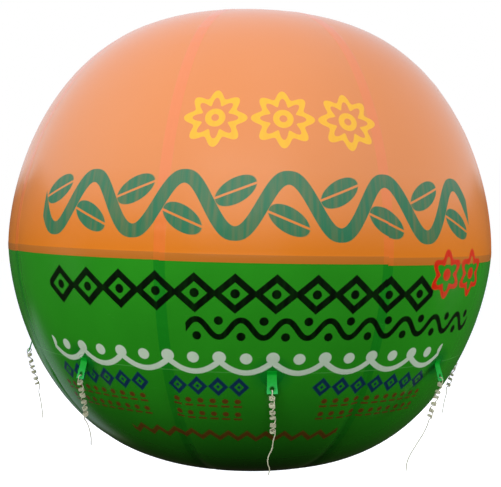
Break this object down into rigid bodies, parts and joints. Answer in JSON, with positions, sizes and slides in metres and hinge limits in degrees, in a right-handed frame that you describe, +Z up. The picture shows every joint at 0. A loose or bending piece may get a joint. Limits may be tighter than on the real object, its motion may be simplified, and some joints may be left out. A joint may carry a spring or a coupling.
{
  "type": "advertising sky balloon",
  "caption": "Round inflatable display balloon, orange above and green below, welded from gores, with tether tabs, bundled ropes and a filling valve under the pole.",
  "frame": {"origin": "on the balloon's upright axis, in the plane of its widest girth, where it floats in the air", "axes": "+Z up along the upright axis, -Y towards the front tab, +X to the right of the front"},
  "size_m": [3.0418, 3.0418, 2.8776],
  "materials": {
    "orange_film": "glossy PVC film with welded seams",
    "green_film": "glossy PVC film with welded seams",
    "weld_patch": "satin PVC film",
    "tab_film": "satin doubled PVC film",
    "rope": "worn laid rope",
    "valve_plastic": "moulded black plastic"
  },
  "bodies": {
    "root": {"gore_lower_back": "green_film", "gore_lower_back_left": "green_film", "gore_lower_back_right": "green_film", "gore_lower_front": "green_film", "gore_lower_front_left": "green_film", "gore_lower_front_right": "green_film", "gore_lower_left": "green_film", "gore_lower_right": "green_film", "gore_upper_back": "orange_film", "gore_upper_back_left": "orange_film", "gore_upper_back_right": "orange_film", "gore_upper_front": "orange_film", "gore_upper_front_left": "orange_film", "gore_upper_front_right": "orange_film", "gore_upper_left": "orange_film", "gore_upper_right": "orange_film", "pole_patch_bottom": "green_film", "pole_patch_top": "orange_film", "valve_cap": "valve_plastic", "valve_flange": "valve_plastic", "valve_neck": "valve_plastic", "weld_patch_back": "weld_patch", "weld_patch_back_left": "weld_patch", "weld_patch_back_right": "weld_patch", "weld_patch_front": "weld_patch", "weld_patch_front_left": "weld_patch", "weld_patch_front_right": "weld_patch", "weld_patch_left": "weld_patch", "weld_patch_right": "weld_patch"},
    "tether_front": {"tether_tab_front": "tab_film", "rope_bundle_front": "rope", "rope_tail_front": "rope"},
    "tether_front_right": {"tether_tab_front_right": "tab_film", "rope_bundle_front_right": "rope", "rope_tail_front_right": "rope"},
    "tether_right": {"tether_tab_right": "tab_film", "rope_bundle_right": "rope", "rope_tail_right": "rope"},
    "tether_back_right": {"tether_tab_back_right": "tab_film", "rope_bundle_back_right": "rope", "rope_tail_back_right": "rope"},
    "tether_back": {"tether_tab_back": "tab_film", "rope_bundle_back": "rope", "rope_tail_back": "rope"},
    "tether_back_left": {"tether_tab_back_left": "tab_film", "rope_bundle_back_left": "rope", "rope_tail_back_left": "rope"},
    "tether_left": {"tether_tab_left": "tab_film", "rope_bundle_left": "rope", "rope_tail_left": "rope"},
    "tether_front_left": {"tether_tab_front_left": "tab_film", "rope_bundle_front_left": "rope", "rope_tail_front_left": "rope"}
  },
  "joints": [
    {"name": "tether_front_swing", "type": "hinge", "parent": "root", "child": "tether_front", "pos_m": [0, -1.37715, -0.61271], "axis": [-1, 0, 0], "range_deg": [-18, 55]},
    {"name": "tether_front_right_swing", "type": "hinge", "parent": "root", "child": "tether_front_right", "pos_m": [0.97379, -0.97379, -0.61271], "axis": [-0.7071, -0.7071, 0], "range_deg": [-18, 55]},
    {"name": "tether_right_swing", "type": "hinge", "parent": "root", "child": "tether_right", "pos_m": [1.37715, 0, -0.61271], "axis": [0, -1, 0], "range_deg": [-18, 55]},
    {"name": "tether_back_right_swing", "type": "hinge", "parent": "root", "child": "tether_back_right", "pos_m": [0.97379, 0.97379, -0.61271], "axis": [0.7071, -0.7071, 0], "range_deg": [-18, 55]},
    {"name": "tether_back_swing", "type": "hinge", "parent": "root", "child": "tether_back", "pos_m": [0, 1.37715, -0.61271], "axis": [1, 0, 0], "range_deg": [-18, 55]},
    {"name": "tether_back_left_swing", "type": "hinge", "parent": "root", "child": "tether_back_left", "pos_m": [-0.97379, 0.97379, -0.61271], "axis": [0.7071, 0.7071, 0], "range_deg": [-18, 55]},
    {"name": "tether_left_swing", "type": "hinge", "parent": "root", "child": "tether_left", "pos_m": [-1.37715, 0, -0.61271], "axis": [0, 1, 0], "range_deg": [-18, 55]},
    {"name": "tether_front_left_swing", "type": "hinge", "parent": "root", "child": "tether_front_left", "pos_m": [-0.97379, -0.97379, -0.61271], "axis": [-0.7071, 0.7071, 0], "range_deg": [-18, 55]}
  ]
}
